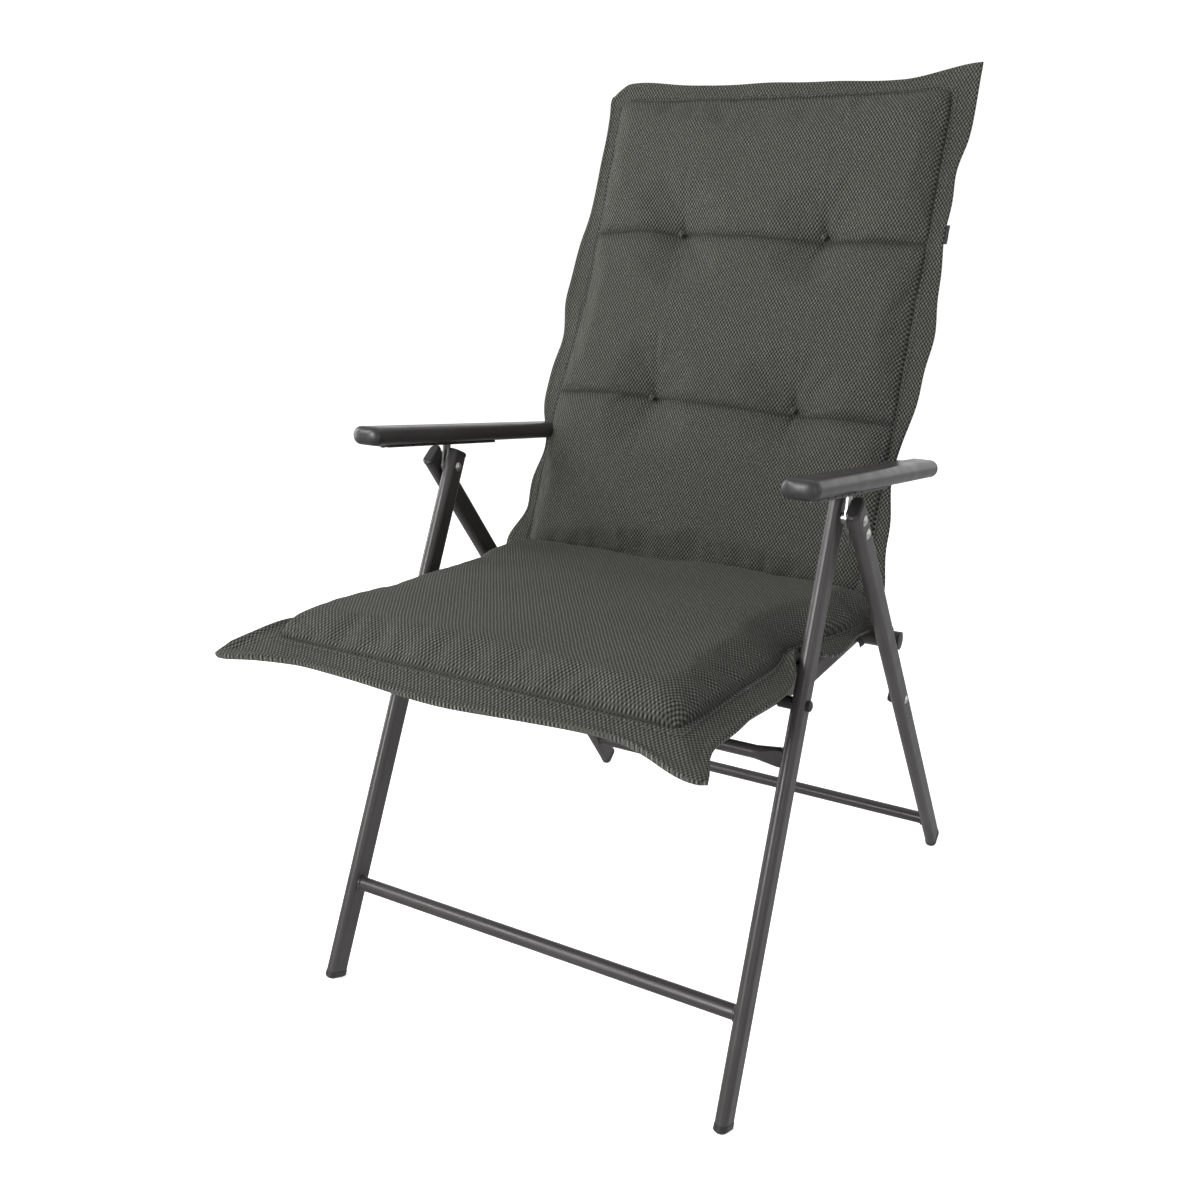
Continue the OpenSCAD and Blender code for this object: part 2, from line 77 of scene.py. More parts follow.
def seat_point(x, y, out):
    """A point on the seat, out above the border's plane."""
    z = SEAT_FRONT_Z - SEAT_FALL * (y - SEAT_FRONT_Y)
    return (x, y + SHIFT_Y + out * SEAT_NORMAL.y, z + out * SEAT_NORMAL.z)


def smooth(t):
    t = min(1.0, max(0.0, t))
    return t * t * (3 - 2 * t)


def bell(d, width):
    return math.exp(-(d / width) ** 2)


def ease(d, radius):
    """Quarter-round rise from a seam."""
    t = 1 - min(1.0, max(0.0, d / radius))
    return math.sqrt(max(0.0, 1 - t * t))


# ---------------------------------------------------------------- materials
class Nodes:
    """A short way to write a node tree."""

    def __init__(self, name):
        self.material = bpy.data.materials.new(name)
        self.material.use_nodes = True
        self.tree = self.material.node_tree
        self.tree.nodes.clear()
        self.out = self.tree.nodes.new("ShaderNodeOutputMaterial")
        self.shader = self.tree.nodes.new("ShaderNodeBsdfPrincipled")
        self.tree.links.new(self.shader.outputs[0], self.out.inputs[0])

    def set(self, **values):
        for key, value in values.items():
            self.shader.inputs[key.replace("_", " ")].default_value = value

    def link(self, source, target):
        self.tree.links.new(source, target)

    def feed(self, socket, value):
        if isinstance(value, bpy.types.NodeSocket):
            self.link(value, socket)
        else:
            socket.default_value = value

    def math(self, operation, *values):
        node = self.tree.nodes.new("ShaderNodeMath")
        node.operation = operation
        for socket, value in zip(node.inputs, values):
            self.feed(socket, value)
        return node.outputs[0]

    def coords(self):
        return self.tree.nodes.new("ShaderNodeTexCoord").outputs["Object"]

    def attribute(self, name):
        node = self.tree.nodes.new("ShaderNodeAttribute")
        node.attribute_name = name
        return node

    def split(self, vector):
        node = self.tree.nodes.new("ShaderNodeSeparateXYZ")
        self.link(vector, node.inputs[0])
        return node.outputs

    def noise(self, vector, scale, detail=2.0, distortion=0.0):
        node = self.tree.nodes.new("ShaderNodeTexNoise")
        self.link(vector, node.inputs["Vector"])
        node.inputs["Scale"].default_value = scale
        node.inputs["Detail"].default_value = detail
        node.inputs["Roughness"].default_value = 0.5
        node.inputs["Distortion"].default_value = distortion
        return node.outputs["Fac"]

    def ramp(self, value, low, high, to_low=0.0, to_high=1.0, soft=True):
        node = self.tree.nodes.new("ShaderNodeMapRange")
        node.interpolation_type = "SMOOTHSTEP" if soft else "LINEAR"
        self.feed(node.inputs["Value"], value)
        ends = {"From Min": low, "From Max": high, "To Min": to_low, "To Max": to_high}
        for key, number in ends.items():
            node.inputs[key].default_value = number
        return node.outputs["Result"]

    def mix(self, factor, a, b):
        node = self.tree.nodes.new("ShaderNodeMix")
        node.data_type = "RGBA"
        self.feed(node.inputs["Factor"], factor)
        for socket, value in ((node.inputs["A"], a), (node.inputs["B"], b)):
            self.feed(socket, value if isinstance(value, bpy.types.NodeSocket) else (*value, 1.0))
        return node.outputs["Result"]

    def bump(self, height, strength, distance, normal=None):
        node = self.tree.nodes.new("ShaderNodeBump")
        node.inputs["Strength"].default_value = strength
        node.inputs["Distance"].default_value = distance
        self.link(height, node.inputs["Height"])
        if normal is not None:
            self.link(normal, node.inputs["Normal"])
        return node.outputs["Normal"]


def powder_coat():
    n = Nodes("powder_coat")
    at = n.coords()
    cloud = n.noise(at, 9, 3)
    fine = n.noise(at, 700, 2)
    speck = n.noise(at, 260, 1)
    base = n.mix(n.ramp(cloud, 0.3, 0.7), (0.043, 0.0395, 0.0395), (0.053, 0.049, 0.049))
    dusty = n.ramp(speck, 0.66, 0.78, 0.0, 0.3)
    n.link(n.mix(dusty, base, (0.06, 0.056, 0.055)), n.shader.inputs["Base Color"])
    n.link(n.ramp(n.noise(at, 35, 3), 0.25, 0.75, 0.3, 0.4), n.shader.inputs["Roughness"])
    n.set(Metallic=0.1, Specular_IOR_Level=0.4, Coat_Weight=0.08, Coat_Roughness=0.2)
    n.link(n.bump(fine, 0.12, 0.0004), n.shader.inputs["Normal"])
    return n.material


def moulded_plastic(name, dark, light, rough):
    n = Nodes(name)
    at = n.coords()
    n.link(n.mix(n.ramp(n.noise(at, 14, 3), 0.3, 0.7), dark, light), n.shader.inputs["Base Color"])
    n.link(n.ramp(n.noise(at, 60, 2), 0.3, 0.7, rough, rough + 0.08), n.shader.inputs["Roughness"])
    n.link(n.bump(n.noise(at, 1100, 2), 0.18, 0.0003), n.shader.inputs["Normal"])
    return n.material


def zinc_plate():
    n = Nodes("zinc_plate")
    at = n.coords()
    cloud = n.noise(at, 55, 4, distortion=0.8)
    plated = n.mix(n.ramp(cloud, 0.3, 0.7), (0.5, 0.5, 0.49), (0.74, 0.74, 0.72))
    n.link(plated, n.shader.inputs["Base Color"])
    n.link(n.ramp(cloud, 0.3, 0.7, 0.38, 0.26), n.shader.inputs["Roughness"])
    n.set(Metallic=0.9)
    n.link(n.bump(n.noise(at, 900, 2), 0.1, 0.0003), n.shader.inputs["Normal"])
    return n.material


WEAVE_X, WEAVE_Y = 0.0043, 0.0031    # the weave's repeat across and along
SHADE_SCALE = 0.001    # a weave mark's third value is how dark the painted shade in a crease or at a seam is, times this


def woven_fabric():
    """Two-tone coarse weave: light yarns crossing round dark pits in staggered rows, with painted shade in creases
    and along seams.
    """
    n = Nodes("cushion_weave")
    at = n.attribute("weave").outputs["Vector"]
    wander = n.noise(at, 30, 2)
    x, y, depth = n.split(at)
    x = n.math("ADD", x, n.math("MULTIPLY", wander, 0.0016))
    y = n.math("ADD", y, n.math("MULTIPLY", n.noise(at, 21, 2), 0.0016))
    cx = n.math("COSINE", n.math("MULTIPLY", x, 2 * math.pi / WEAVE_X))
    cy = n.math("COSINE", n.math("MULTIPLY", y, math.pi / WEAVE_Y))
    lattice = n.math("MULTIPLY", cx, cy)
    grain = n.noise(at, 900, 2)
    lattice = n.math("ADD", lattice, n.math("MULTIPLY", n.math("SUBTRACT", grain, 0.5), 0.9))
    pits = n.ramp(lattice, 0.1, 0.7)
    crowns = n.ramp(lattice, -0.1, -0.95)
    strand = n.noise(at, 420, 1)
    light = n.mix(n.ramp(strand, 0.3, 0.7), (0.088, 0.089, 0.077), (0.17, 0.17, 0.153))
    body = n.mix(crowns, (0.05, 0.051, 0.043), light)
    patch = n.ramp(n.noise(at, 6, 3), 0.3, 0.7)
    colour = n.mix(pits, body, (0.0085, 0.008, 0.0072))
    clouded = n.mix(n.math("MULTIPLY", patch, 0.12), colour, (0.036, 0.036, 0.03))
    # painted shade: depth, the mark's third value, darkens the colour towards near black in creases and along
    # seams
    crease = n.ramp(depth, 0, SHADE_SCALE, 0.0, 0.85, soft=False)
    n.link(n.mix(crease, clouded, (0.006, 0.006, 0.005)), n.shader.inputs["Base Color"])
    n.link(n.ramp(pits, 0, 1, 0.82, 0.96), n.shader.inputs["Roughness"])
    n.set(Sheen_Weight=0.06, Sheen_Roughness=0.5, Specular_IOR_Level=0.22)
    n.shader.inputs["Sheen Tint"].default_value = (0.75, 0.76, 0.68, 1)
    height = n.math("SUBTRACT", n.math("MULTIPLY", crowns, 0.6), pits)
    ribs = n.bump(height, 0.8, 0.001)
    slub = n.bump(n.noise(at, 70, 3), 0.12, 0.002, ribs)
    n.link(slub, n.shader.inputs["Normal"])
    return n.material


def thread_material():
    n = Nodes("sewing_thread")
    at = n.coords()
    twist = n.noise(at, 800, 1)
    n.link(n.mix(twist, (0.03, 0.03, 0.026), (0.075, 0.076, 0.066)), n.shader.inputs["Base Color"])
    n.set(Roughness=0.75, Sheen_Weight=0.2)
    n.link(n.bump(n.noise(at, 1500, 1), 0.3, 0.0003), n.shader.inputs["Normal"])
    return n.material


SLING_PITCH, RIB_PITCH = 0.0024, 0.0012


def sling_mesh():
    n = Nodes("sling_mesh")
    at = n.coords()
    x, y, z = n.split(at)
    run = n.math("ADD", y, z)
    a = n.math("COSINE", n.math("MULTIPLY", x, 2 * math.pi / SLING_PITCH))
    b = n.math("COSINE", n.math("MULTIPLY", run, 2 * math.pi / SLING_PITCH))
    knots = n.ramp(n.math("MULTIPLY", a, b), -0.3, 0.6)
    n.link(n.mix(knots, (0.012, 0.012, 0.012), (0.045, 0.044, 0.043)), n.shader.inputs["Base Color"])
    n.set(Roughness=0.6)
    n.link(n.bump(knots, 0.5, 0.0005), n.shader.inputs["Normal"])
    return n.material


def label_material():
    n = Nodes("blank_label")
    at = n.coords()
    _, y, z = n.split(at)
    rib = n.math("SINE", n.math("MULTIPLY", n.math("ADD", y, z), 2 * math.pi / RIB_PITCH))
    ribbed = n.mix(n.ramp(rib, -1, 1), (0.012, 0.012, 0.012), (0.03, 0.03, 0.03))
    n.link(ribbed, n.shader.inputs["Base Color"])
    n.set(Roughness=0.7)
    n.link(n.bump(rib, 0.3, 0.0003), n.shader.inputs["Normal"])
    return n.material


COAT = powder_coat()
PLASTIC = moulded_plastic("moulded_plastic", (0.024, 0.0225, 0.023), (0.031, 0.029, 0.0295), 0.34)
ZINC = zinc_plate()
FABRIC = woven_fabric()
THREAD = thread_material()
SLING = sling_mesh()
LABEL = label_material()
SLOT_LOOK = {"frame_paint": COAT, "plastic_fittings": PLASTIC, "zinc_steel": ZINC,
             "cushion_fabric": FABRIC, "sling_fabric": SLING}

for part in frame["record"]["subparts"]:
    node = frame["nodes"][part["node"]]
    node.data.materials.clear()
    node.data.materials.append(SLOT_LOOK[part["material_slot"]])


# ---------------------------------------------------------------- mesh helpers
def new_piece(name, verts, faces, material, body, weave=None):
    mesh = bpy.data.meshes.new(name)
    mesh.from_pydata([tuple(v) for v in verts], [], faces)
    mesh.update()
    mesh.polygons.foreach_set("use_smooth", [True] * len(mesh.polygons))
    if weave is not None:
        layer = mesh.attributes.new("weave", "FLOAT_VECTOR", "POINT")
        layer.data.foreach_set("vector", np.array(weave, np.float32).ravel())
    mesh.materials.append(material)
    piece = bpy.data.objects.new(name, mesh)
    scene.collection.objects.link(piece)
    if body:
        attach(piece, body)
    return piece


def lines_with(low, high, step, dense_at=(), dense=0.0025, reach=0.011):
    """Grid lines from low to high, closer together near both ends and near the given places."""
    marks = [low]
    while marks[-1] < high - 1e-6:
        here = marks[-1]
        near = min([abs(here - c) for c in dense_at] + [9])
        edge = min(here - low, high - here)
        gap = dense if near < reach else (step * 0.5 if edge < 0.02 else step)
        marks.append(min(high, here + gap))
    if high - marks[-2] < 0.3 * dense:
        del marks[-2]
    return marks


def pad_grid(across, along, place):
    """Closed pad: a front and a rear grid that share their rim.

    place(u, v, side) gives a point and its weave mark."""
    verts, weave, index = [], [], {}
    last_i, last_j = len(across) - 1, len(along) - 1
    for side in (1, -1):
        for i in range(last_i + 1):
            for j in range(last_j + 1):
                rim = i in (0, last_i) or j in (0, last_j)
                if side == -1 and rim:
                    index[side, i, j] = index[1, i, j]
                    continue
                point, mark = place(across[i], along[j], 0 if rim else side)
                index[side, i, j] = len(verts)
                verts.append(point)
                weave.append(mark)
    faces = []
    for side in (1, -1):
        for i in range(last_i):
            for j in range(last_j):
                quad = [index[side, i, j], index[side, i + 1, j],
                        index[side, i + 1, j + 1], index[side, i, j + 1]]
                faces.append(quad if side == 1 else quad[::-1])
    front = [index[1, i, j] for i in range(1, last_i) for j in range(1, last_j)]
    return verts, faces, weave, front


def swell(piece, free, slack, cap, pressure=3.0, frames=16):
    """Blows the free points of a pad out as cloth, and keeps the result up to a shift of cap."""
    mesh = piece.data
    rest = np.zeros(len(mesh.vertices) * 3, np.float32)
    mesh.vertices.foreach_get("co", rest)
    rest = rest.reshape(-1, 3)
    free = set(free)
    group = piece.vertex_groups.new(name="held")
    group.add([k for k in range(len(mesh.vertices)) if k not in free], 1.0, "REPLACE")
    cloth = piece.modifiers.new("Cloth", "CLOTH")
    cloth.settings.quality = 5
    cloth.settings.mass = 0.3
    cloth.settings.tension_stiffness = 12
    cloth.settings.compression_stiffness = 12
    cloth.settings.shear_stiffness = 4
    cloth.settings.bending_stiffness = 0.25
    cloth.settings.use_pressure = True
    cloth.settings.uniform_pressure_force = pressure
    cloth.settings.shrink_min = -slack
    cloth.settings.vertex_group_mass = "held"
    cloth.settings.effector_weights.gravity = 0
    cloth.point_cache.frame_start, cloth.point_cache.frame_end = 1, frames
    for f in range(1, frames + 1):
        scene.frame_set(f)
    graph = bpy.context.evaluated_depsgraph_get()
    moved = np.zeros_like(rest).ravel()
    piece.evaluated_get(graph).data.vertices.foreach_get("co", moved)
    shift = moved.reshape(-1, 3) - rest
    far = np.linalg.norm(shift, axis=1, keepdims=True)
    shift *= np.minimum(1.0, cap / np.maximum(far, 1e-9))
    piece.modifiers.remove(cloth)
    piece.vertex_groups.remove(group)
    scene.frame_set(1)
    mesh.vertices.foreach_set("co", (rest + shift).astype(np.float32).ravel())
    mesh.update()


def subdivided(piece):
    mod = piece.modifiers.new("Subdivision", "SUBSURF")
    mod.levels = mod.render_levels = 1
    return piece


# ---------------------------------------------------------------- outlines of the two panels
SEAT_HALF = 0.2375    # half width of the seat pad


def seat_seam(u, y):
    """Half width of the seat's seam on the side u, nipped between the front legs."""
    if u < 0:
        return 0.2405 - 0.0015 * bell(y + 0.115, 0.04) + 0.014 * smooth((y + 0.07) / 0.1)
    return SEAT_HALF - 0.006 * bell(y + 0.115, 0.04) + 0.02 * smooth((y + 0.07) / 0.1)


def seat_edge(u, y):
    """Half width of the seat's border on the side u."""
    flare = (0.044 if u > 0 else 0.031) * smooth((-0.36 - y) / 0.07)
    return 0.2658 + flare - 0.0245 * bell(y + 0.125, 0.042) - 0.003 * smooth((y + 0.06) / 0.05)


def back_seam(u, s):
    low = smooth((0.46 - s) / 0.32)
    return 0.2335 + (-0.001 if u > 0 else 0.024) * low


def back_edge(u, s):
    """Half width of the back's border on the side u: the cover sits a little askew."""
    if u < 0:
        return (0.2525 + 0.0155 * smooth((0.47 - s) / 0.09) - 0.011 * bell(s - 0.195, 0.04)
                + 0.02 * smooth((0.1 - s) / 0.06) - 0.004 * bell(s - 0.62, 0.035)
                + 0.005 * smooth((0.4 - s) / 0.15)
                + 0.009 * bell(s - 0.46, 0.05) - 0.005 * bell(s - 0.34, 0.045)
                + 0.004 * bell(s - 0.25, 0.03))
    return (0.2525 + 0.009 * smooth((s - 0.56) / 0.1) + 0.0065 * bell(s - 0.37, 0.06)
            + 0.0015 * smooth((0.47 - s) / 0.06) - 0.011 * bell(s - 0.205, 0.05)
            - 0.004 * smooth((0.3 - s) / 0.1) + 0.006 * smooth((0.12 - s) / 0.08))


SEAT_SEAM_FRONT, SEAT_SEAM_REAR = -0.397, 0.108
BACK_SEAM_LOW, BACK_SEAM_TOP = 0.03, 0.677
ROWS = (0.489, 0.265)    # the tufted rows' heights up the back
TUFT_X = 0.101
TUFTS = [(x, s) for s in ROWS for x in (-TUFT_X, TUFT_X)]
BACK_HALF = 0.24
GRID_STEP = 0.006


# ---------------------------------------------------------------- seat pad
SEAT_RISE, BACK_RISE = 0.0255, 0.018    # how far the pads stand out before they are blown up


def seat_place(u, y, side):
    """The seat pad's surface: u is -1..1 across, y runs front to rear."""
    mid = (SEAT_SEAM_FRONT + SEAT_SEAM_REAR) / 2
    half = (SEAT_SEAM_REAR - SEAT_SEAM_FRONT) / 2
    vn = (y - mid) / half
    width = seat_seam(u, y)
    x = u * width * (1 - 0.022 * abs(vn) ** 14)
    yy = mid + (y - mid) * (1 - 0.012 * abs(u) ** 14)
    d_side, d_front, d_rear = width * (1 - abs(u)), y - SEAT_SEAM_FRONT, SEAT_SEAM_REAR - y
    if side > 0:
        rear_dip = 0.2 * bell(vn - 1, 0.25) if u < 0 else 0.0
        length_swell = -0.14 if vn < 0 else 0.12 * (1 - 0.5 * u * u) - rear_dip
        dome = (1 - u * u * 0.12) * (1 + length_swell * vn * vn)
        side_round = 0.012 if u < 0 else 0.026
        out = SEAT_RISE * dome * ease(d_side, side_round) * ease(d_front, 0.028) * ease(d_rear, 0.026)
        out += 0.0009 * math.sin(23 * x + 9 * yy) * math.sin(31 * yy - 7 * x)
    elif side < 0:
        sling = 0.4534 - 0.12 * (yy + 0.4063) if yy < -0.028 else 0.4085
        deep = SEAT_FRONT_Z - SEAT_FALL * (yy - SEAT_FRONT_Y) - sling - 0.004
        inner = smooth((d_side - 0.013) / 0.022) * smooth((d_front - 0.02) / 0.03) * smooth(d_rear / 0.06)
        out = -0.006 * ease(min(d_side, d_front, d_rear), 0.01) - (deep - 0.006) * inner
    else:
        out = 0.0
    # painted shade: the weave is darkened along the seat's seam at the sides and front
    shade = 0.6 * bell(min(d_side, d_front), 0.0018) if side >= 0 else 0.0
    return seat_point(x, yy, out), (x, yy, shade * SHADE_SCALE)


seat_lines = lines_with(SEAT_SEAM_FRONT, SEAT_SEAM_REAR, GRID_STEP)
across_lines = [x / SEAT_HALF for x in lines_with(-SEAT_HALF, SEAT_HALF, GRID_STEP)]
verts, faces, weave, free = pad_grid(across_lines, seat_lines, seat_place)
seat_pad = new_piece("seat_pad", verts, faces, FABRIC, None, weave)
swell(seat_pad, free, slack=0.012, cap=0.008)
subdivided(seat_pad)
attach(seat_pad, "seat")
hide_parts("seat_cushion")


# ---------------------------------------------------------------- back pad
def back_relief(x, s):
    """Depth of the creases and dips that the tufts pull into the back."""
    depth = 0.0
    for row in ROWS:
        above = s - row + 0.004 * math.sin(11 * x)
        depth += 0.0062 * bell(above, 0.028) + 0.0042 * bell(above + 0.003, 0.0055)
    for tx, ts in TUFTS:
        r2 = ((x - tx) / 0.02) ** 2 + ((s - ts) / 0.017) ** 2
        depth += 0.0095 * math.exp(-r2 / 2)
        rise = s - ts
        for lean, length in ((-0.3, 0.055), (0.02, 0.075), (0.28, 0.055)):
            off = x - tx - lean * rise
            if rise > 0:
                depth += 0.0024 * bell(off, 0.005) * smooth(rise / 0.012) * bell(rise, length)
            else:
                depth += 0.0009 * bell(off, 0.006) * smooth(-rise / 0.012) * bell(rise, 0.035)
    for k in range(3):
        depth += 0.0011 * bell(s - 0.52 - 0.015 * k - 0.25 * (x - 0.17), 0.004) * bell(x - 0.165, 0.03)
        depth += 0.0009 * bell(s - 0.14 - 0.045 * k + 0.12 * x, 0.006) * bell(x + 0.05 - 0.08 * k, 0.07)
    return depth


def back_place(u, s, side):
    mid = (BACK_SEAM_LOW + BACK_SEAM_TOP) / 2
    half = (BACK_SEAM_TOP - BACK_SEAM_LOW) / 2
    vn = (s - mid) / half
    width = back_seam(u, s)
    x = u * width * (1 - 0.02 * abs(vn) ** 18)
    ss = mid + (s - mid) * (1 - 0.009 * abs(u) ** 18)
    d_side, d_low, d_top = width * (1 - abs(u)), s - BACK_SEAM_LOW, BACK_SEAM_TOP - s
    if side > 0:
        edge = ease(d_side, 0.024) * ease(d_low, 0.04) * ease(d_top, 0.024)
        out = edge * (BACK_RISE * (1 - 0.14 * u * u) - back_relief(x, ss))
    elif side < 0:
        inner = smooth((0.2135 - abs(x)) / 0.02) * smooth((d_top - 0.028) / 0.02) * smooth(d_low / 0.05)
        out = -0.006 * ease(min(d_side, d_low, d_top), 0.01) - 0.0175 * inner
    else:
        out = 0.0
    # painted shade: the weave is darkened along the back's seam, in the tufted rows' creases and round each tuft
    shade = 0.9 * bell(min(d_side, d_top), 0.0022) if side >= 0 else 0.0
    if side > 0:
        row = min(abs(ss - line + 0.003 + 0.004 * math.sin(11 * x)) for line in ROWS)
        shade = max(shade, 0.75 * bell(row, 0.0028), 0.3 * bell(row, 0.008))
        for tx, ts in TUFTS:
            shade = max(shade, 0.6 * bell(math.hypot(x - tx, ss - ts), 0.009))
    return back_point(x, ss, out), (x, ss, shade * SHADE_SCALE)


back_lines = lines_with(BACK_SEAM_LOW, BACK_SEAM_TOP, GRID_STEP, ROWS)
tuft_lines = [x / BACK_HALF for x in lines_with(-BACK_HALF, BACK_HALF, GRID_STEP, (-TUFT_X, TUFT_X), 0.003)]
verts, faces, weave, free = pad_grid(tuft_lines, back_lines, back_place)
held_by_tuft = set()
for k, mark in enumerate(weave):
    for tx, ts in TUFTS:
        if (mark[0] - tx) ** 2 + (mark[1] - ts) ** 2 < 0.005 ** 2:
            held_by_tuft.add(k)
back_pad = new_piece("back_pad", verts, faces, FABRIC, None, weave)
swell(back_pad, [k for k in free if k not in held_by_tuft], slack=0.014, cap=0.007)
subdivided(back_pad)
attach(back_pad, "back")
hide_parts("back_cushion")


# ---------------------------------------------------------------- stitched borders
def border(name, stations, body, thick=0.0048):
    """Flat stitched edging as a closed strip with a rolled hem.

    Each station gives its seam point, edge point, normal, weave marks and how strongly the hem is rolled."""
    top = [0.0, 0.1, 0.25, 0.42, 0.56, 0.66, 0.71, 0.76, 0.84, 0.92]
    round_edge = [math.radians(a) for a in (70, 45, 15, -15, -45, -70)]
    verts, weave = [], []
    ring = 0
    for inner, outer, normal, mark_in, mark_out, roll in stations:
        inner, outer, normal = Vector(inner), Vector(outer), Vector(normal)
        run = outer - inner
        length = run.length
        along = run / length
        half = thick / 2
        section = []
        for w in top:
            fat = half * (0.75 + 0.25 * smooth(w / 0.9))
            hem = 0.0016 * smooth((w - 0.71) / 0.1) - 0.0009 * bell(w - 0.7, 0.04)
            section.append((w, fat + hem * roll, fat + 0.6 * hem * roll))
        edge_w, fat = 1 - half / length, half + 0.0012 * roll
        section += [(edge_w + math.cos(a) * half / length, fat * math.sin(a), None) for a in round_edge]
        section += [(w, -low, None) for w, _, low in reversed(section[:len(top)])]
        ring = len(section)
        for w, h, _ in section:
            sag = 0.0035 * math.sin(math.pi * min(w, 1.0)) * roll
            verts.append(inner + along * (w * length) + normal * (h - sag))
            mark = [a + (b - a) * w for a, b in zip(mark_in, mark_out)]
            # painted shade: the weave is darkened along the seam side of the border
            weave.append((mark[0], mark[1], 0.55 * bell(w, 0.035) * SHADE_SCALE))
    faces = []
    for k in range(len(stations) - 1):
        for r in range(ring):
            a, b = k * ring + r, k * ring + (r + 1) % ring
            faces.append((a, b, b + ring, a + ring))
    faces.append(tuple(range(ring)))
    faces.append(tuple(reversed(range((len(stations) - 1) * ring, len(stations) * ring))))
    piece = new_piece(name, verts, faces, FABRIC, None, weave)
    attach(piece, body)
    return piece


def wave(a, *terms):
    return sum(size * math.sin(2 * math.pi * (a / length + phase)) for size, length, phase in terms)


def seat_border_stations():
    rear, front = 0.104, SEAT_SEAM_FRONT
    stations = []
    sides, ends = 90, 96
    marks = [(1.0, rear + (front - rear) * k / sides) for k in range(sides)]
    marks += [(1 - 2 * k / ends, front) for k in range(ends + 1)]
    marks += [(-1.0, front + (rear - front) * k / sides) for k in range(1, sides + 1)]
    for u, y in marks:
        end = y == front
        corner = abs(u) ** 14 if end else bell(y - front, 0.012)
        seam_x = u * (seat_seam(u, y) - 0.004) * (1 - 0.02 * corner)
        seam_y = y + 0.004 * (1 if end else 0) + 0.004 * corner
        tip = 0.055 if u > 0 else 0.0455
        if end:
            edge_x = u * seat_edge(u, front)
            edge_y = -0.4215 - 0.0045 * bell(edge_x + 0.01, 0.07)
            edge_y -= 0.0215 * smooth((-edge_x - 0.17) / 0.11) + 0.0315 * smooth((edge_x - 0.18) / 0.1)
            edge_y += 0.004 * smooth((abs(u) - 0.975) / 0.025)
            droop = 0.0135 - 0.004 * bell(edge_x - 0.17, 0.06) + 0.005 * smooth((edge_x - 0.22) / 0.06)
            droop += 0.004 * smooth((-edge_x - 0.23) / 0.05) - 0.002 * bell(edge_x + 0.2, 0.06)
            droop += 0.004 * bell(edge_x + 0.02, 0.13) + wave(edge_x, (0.0008, 0.21, 0.3))
            roll = 1 - 0.6 * abs(u) ** 6
        else:
            near = smooth((-0.3 - y) / 0.1)
            edge_x = u * (seat_edge(u, y) + wave(y, (0.0012, 0.11, 0.2 + 0.3 * u)) * (1 - near))
            edge_x -= u * 0.002 * smooth((front + 0.012 - y) / 0.012)
            edge_y = y - (tip - 0.0135) * smooth((-0.335 - y) / 0.062)
            final = 0.0185 if u > 0 else 0.0165
            droop = 0.0125 + (final - 0.0125) * smooth((-0.36 - y) / 0.037)
            droop += wave(y, (0.0016, 0.14, 0.5 + 0.2 * u)) * (1 - near)
            droop -= 0.017 * bell(y + 0.125, 0.04) + (0.015 * bell(y + 0.355, 0.045) if u < 0 else 0.0)
            roll = 0.4
        inner = Vector(seat_point(seam_x, seam_y, -0.0005))
        outer = Vector(seat_point(edge_x, edge_y, -droop))
        tilt = (outer - inner).normalized()
        side = Vector((0, 1, 0)) if not end else Vector((1, 0, 0))
        normal = tilt.cross(side)
        if normal.z < 0:
            normal = -normal
        normal = (normal.normalized() + SEAT_NORMAL * 0.5).normalized()
        stations.append((inner, outer, normal, (seam_x, seam_y), (edge_x, edge_y), roll))
    return stations


def back_border_stations():
    low, top = 0.032, BACK_SEAM_TOP
    stations = []
    sides, ends = 110, 96
    marks = [(1.0, low + (top - low) * k / sides) for k in range(sides)]
    marks += [(1 - 2 * k / ends, top) for k in range(ends + 1)]
    marks += [(-1.0, top + (low - top) * k / sides) for k in range(1, sides + 1)]
    for u, s in marks:
        end = s == top
        corner = abs(u) ** 18 if end else bell(s - top, 0.01)
        seam_x = u * (back_seam(u, s) - 0.004) * (1 - 0.02 * corner)
        seam_s = s - 0.004 * (1 if end else 0) - 0.004 * corner
        if end:
            edge_x = u * back_edge(u, top)
            edge_s = 0.6935 + 0.0085 * bell(edge_x + 0.2, 0.06) + 0.003 * bell(edge_x + 0.06, 0.08)
            edge_s += 0.0145 * smooth((edge_x - 0.165) / 0.09) - 0.016 * smooth((-edge_x - 0.222) / 0.034)
            edge_x *= 1 - 0.012 * smooth((-edge_x - 0.24) / 0.012)
            lift = wave(edge_x, (0.002, 0.24, 0.1), (0.001, 0.1, 0.4)) + 0.003 * abs(u) ** 6
        else:
            edge_x = u * (back_edge(u, s) + wave(s, (0.0009, 0.08, 0.55)))
            rise = 0.032 if u > 0 else 0.0095
            edge_s = s + rise * smooth((s - 0.61) / 0.067)
            if u < 0:
                edge_x *= 1 - 0.012 * smooth((s - 0.665) / 0.012)
            lift = wave(s, (0.002, 0.2, 0.35 + 0.25 * u), (0.0012, 0.09, 0.8)) * smooth((top - s) / 0.05)
            lift += 0.003 * smooth((s - top + 0.03) / 0.03) - 0.004 * bell(s - 0.19, 0.06)
        inner = Vector(back_point(seam_x, seam_s, -0.0005))
        outer = Vector(back_point(edge_x, edge_s, lift - 0.002))
        stations.append((inner, outer, BACK_NORMAL, (seam_x, seam_s), (edge_x, edge_s), 0.25))
    return stations


seat_stations = seat_border_stations()
back_stations = back_border_stations()
seat_border = border("seat_border", seat_stations, "seat")
border("back_border", back_stations, "back")


